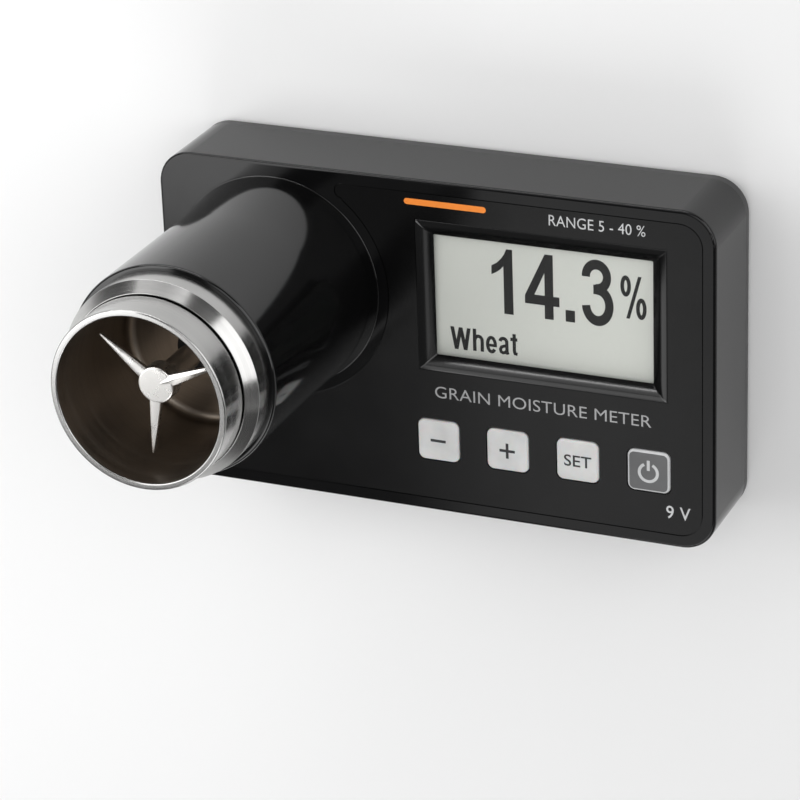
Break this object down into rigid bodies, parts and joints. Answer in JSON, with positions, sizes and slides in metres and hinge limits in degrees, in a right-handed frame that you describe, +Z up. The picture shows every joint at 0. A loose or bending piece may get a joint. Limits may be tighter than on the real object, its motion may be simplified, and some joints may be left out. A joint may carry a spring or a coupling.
{
  "type": "grain moisture meter",
  "caption": "Bench grain moisture meter: a flat instrument box with display and keys, and a tower that carries a steel sample cup with a three-armed mill blade.",
  "frame": {"origin": "middle of the box's footprint, on the table that its feet stand on", "axes": "+Z up out of the cup's mouth, +X along the row of keys, +Y towards the edge above the display"},
  "size_m": [0.15, 0.091, 0.1065],
  "materials": {
    "black_plastic": "semi-gloss moulded",
    "foil_black": "satin printed film",
    "bezel_black": "gloss moulded",
    "foot_rubber": "matt",
    "cup_steel": "turned satin",
    "ring_steel": "turned bright",
    "blade_steel": "polished",
    "screw_steel": "plated",
    "window_clear": "clear",
    "lcd_glass": "pale grey-green display",
    "lcd_ink": "display segments",
    "holder_white": "moulded",
    "board_green": "solder mask",
    "chip_black": "moulded",
    "key_light": "satin",
    "key_dark": "satin",
    "print_white": "screen print",
    "accent_orange": "screen print",
    "cell_case": "lacquered",
    "snap_black": "soft",
    "lead_cover": "wire insulation",
    "bracket_aluminium": "turned",
    "gearbox_steel": "plated",
    "shaft_steel": "ground",
    "coupling_brass": "turned",
    "bush_bronze": "sintered",
    "seal_rubber": "matt",
    "sensor_black": "epoxy"
  },
  "bodies": {
    "meter_body": {"front_housing": "black_plastic", "rear_cover": "black_plastic", "foot_rear_left": "foot_rubber", "foot_rear_right": "foot_rubber", "foot_front_left": "foot_rubber", "foot_front_right": "foot_rubber", "housing_screws": "screw_steel", "overlay_foil": "foil_black", "lcd_bezel": "bezel_black", "lcd_window": "window_clear", "lcd_panel": "lcd_glass", "lcd_holder": "holder_white", "main_board": "board_green", "board_components": "chip_black", "board_screws": "screw_steel", "key_switches": "chip_black", "battery_9v": "cell_case", "battery_snap": "snap_black", "battery_leads": "lead_cover", "cup_tower": "black_plastic", "tower_nut": "black_plastic", "grain_cup": "cup_steel", "cup_ring": "ring_steel", "cup_seal": "seal_rubber", "motor_bracket": "bracket_aluminium", "bracket_screws": "screw_steel", "gearbox": "gearbox_steel", "gearbox_screws": "screw_steel", "motor_can": "gearbox_steel", "shaft_bush": "bush_bronze", "shaft_seal": "seal_rubber", "shaft_contact": "coupling_brass", "temperature_sensor": "sensor_black", "sensor_leads": "lead_cover", "motor_leads": "lead_cover"},
    "mill_rotor": {"mill_blade": "blade_steel", "blade_shaft": "shaft_steel", "shaft_coupling": "coupling_brass", "motor_shaft": "shaft_steel"},
    "minus_key_body": {"minus_key": "key_light"},
    "plus_key_body": {"plus_key": "key_light"},
    "set_key_body": {"set_key": "key_light"},
    "power_key_body": {"power_key": "key_dark"},
    "door": {"battery_door": "black_plastic"}
  },
  "joints": [
    {"name": "blade_spin", "type": "hinge", "parent": "meter_body", "child": "mill_rotor", "pos_m": [-0.0433, 0.0131, 0.0971], "axis": [0, 0, 1], "continuous": true},
    {"name": "minus_press", "type": "slide", "parent": "meter_body", "child": "minus_key_body", "axis": [0, 0, -1], "range_m": [0, 0.0008], "stiffness_N_per_m": 1200, "springref_m": -0.0004},
    {"name": "plus_press", "type": "slide", "parent": "meter_body", "child": "plus_key_body", "axis": [0, 0, -1], "range_m": [0, 0.0008], "stiffness_N_per_m": 1200, "springref_m": -0.0004},
    {"name": "set_press", "type": "slide", "parent": "meter_body", "child": "set_key_body", "axis": [0, 0, -1], "range_m": [0, 0.0008], "stiffness_N_per_m": 1200, "springref_m": -0.0004},
    {"name": "power_press", "type": "slide", "parent": "meter_body", "child": "power_key_body", "axis": [0, 0, -1], "range_m": [0, 0.0008], "stiffness_N_per_m": 1200, "springref_m": -0.0004},
    {"name": "door_slide", "type": "slide", "parent": "meter_body", "child": "door", "axis": [0, -1, 0], "range_m": [0, 0.033]}
  ]
}
